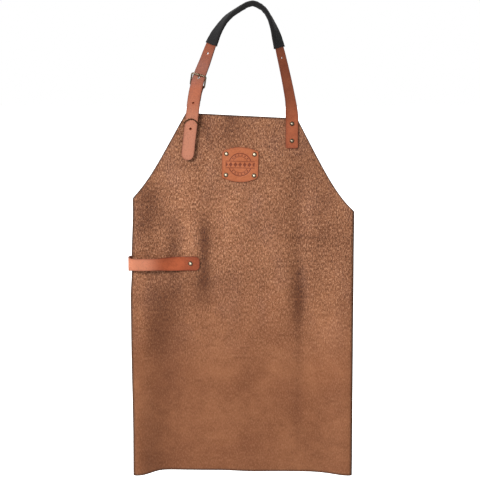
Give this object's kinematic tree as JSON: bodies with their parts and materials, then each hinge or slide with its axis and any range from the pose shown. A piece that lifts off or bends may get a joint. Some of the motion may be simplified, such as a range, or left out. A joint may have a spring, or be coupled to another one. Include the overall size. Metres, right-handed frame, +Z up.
{
  "type": "bib apron",
  "caption": "Long leather bib apron with a buckled neck loop in a soft sleeve, a badge, a side towel loop and two waist straps, hanging by its neck loop.",
  "frame": {"origin": "underside of the neck sleeve at the top of the neck loop, where a hook bears", "axes": "+Z up along the hanging apron, -Y is the apron's front, +X to the right seen from the front"},
  "size_m": [0.5355, 0.057, 1.1283],
  "materials": {
    "panel_leather": "oiled cognac-brown leather, lightly mottled",
    "strap_leather": "smooth reddish tan leather",
    "badge_leather": "smooth tan leather with an embossed motif",
    "sleeve_fabric": "matte black soft fabric",
    "antique_brass": "dark antique brass"
  },
  "bodies": {
    "apron": {"apron_panel": "panel_leather", "neck_strap": "strap_leather", "neck_sleeve": "sleeve_fabric", "buckle_strap": "strap_leather", "badge": "badge_leather", "towel_loop": "strap_leather", "waist_patch_left": "strap_leather", "waist_patch_right": "strap_leather", "neck_strap_rivet_1_cap": "antique_brass", "neck_strap_rivet_1_back": "antique_brass", "neck_strap_rivet_2_cap": "antique_brass", "neck_strap_rivet_2_back": "antique_brass", "buckle_strap_rivet_1_cap": "antique_brass", "buckle_strap_rivet_1_back": "antique_brass", "buckle_strap_rivet_2_cap": "antique_brass", "buckle_strap_rivet_2_back": "antique_brass", "badge_rivet_1_cap": "antique_brass", "badge_rivet_1_back": "antique_brass", "badge_rivet_2_cap": "antique_brass", "badge_rivet_2_back": "antique_brass", "badge_rivet_3_cap": "antique_brass", "badge_rivet_3_back": "antique_brass", "badge_rivet_4_cap": "antique_brass", "badge_rivet_4_back": "antique_brass", "towel_front_rivet_cap": "antique_brass", "towel_front_rivet_back": "antique_brass", "towel_rear_rivet_cap": "antique_brass", "towel_rear_rivet_back": "antique_brass", "waist_rivet_left_cap": "antique_brass", "waist_rivet_left_back": "antique_brass", "waist_rivet_right_cap": "antique_brass", "waist_rivet_right_back": "antique_brass"},
    "neck_buckle": {"neck_buckle_frame": "antique_brass"},
    "neck_prong": {"neck_buckle_prong": "antique_brass"},
    "neck_keeper": {"strap_keeper": "antique_brass"},
    "left_waist_strap": {"waist_strap_left": "strap_leather", "waist_fold_rivet_cap": "antique_brass", "waist_fold_rivet_back": "antique_brass"},
    "waist_buckle": {"waist_buckle_frame": "antique_brass"},
    "waist_prong": {"waist_buckle_prong": "antique_brass"},
    "left_strap_keeper": {"waist_keeper": "strap_leather"},
    "right_waist_strap": {"waist_strap_right": "strap_leather"}
  },
  "joints": [
    {"name": "neck_buckle_tilt", "type": "hinge", "parent": "apron", "child": "neck_buckle", "pos_m": [-0.11811, -0.00099, -0.18324], "axis": [0.9388, -0.2345, -0.2525], "range_deg": [0, 2]},
    {"name": "neck_prong_tilt", "type": "hinge", "parent": "neck_buckle", "child": "neck_prong", "pos_m": [-0.11811, -0.00099, -0.18324], "axis": [0.9388, -0.2345, -0.2525], "range_deg": [0, 1.5]},
    {"name": "neck_keeper_slide", "type": "slide", "parent": "apron", "child": "neck_keeper", "axis": [0.1242, 0.0079, 0.9922], "range_m": [0, 0.008]},
    {"name": "left_waist_swivel", "type": "hinge", "parent": "apron", "child": "left_waist_strap", "pos_m": [-0.254, 0.0168, -0.637], "axis": [0, 1, 0], "range_deg": [-15, 90]},
    {"name": "right_waist_swivel", "type": "hinge", "parent": "apron", "child": "right_waist_strap", "pos_m": [0.23, 0.0168, -0.637], "axis": [0, 1, 0], "range_deg": [-90, 15]},
    {"name": "waist_buckle_hinge", "type": "hinge", "parent": "left_waist_strap", "child": "waist_buckle", "pos_m": [-0.254, 0.0133, -0.802], "axis": [1, 0, 0], "range_deg": [-4, 60]},
    {"name": "waist_prong_hinge", "type": "hinge", "parent": "waist_buckle", "child": "waist_prong", "pos_m": [-0.254, 0.0133, -0.802], "axis": [1, 0, 0], "range_deg": [0, 75]},
    {"name": "waist_keeper_slide", "type": "slide", "parent": "left_waist_strap", "child": "left_strap_keeper", "axis": [0, 0, 1], "range_m": [0, 0.02]}
  ]
}
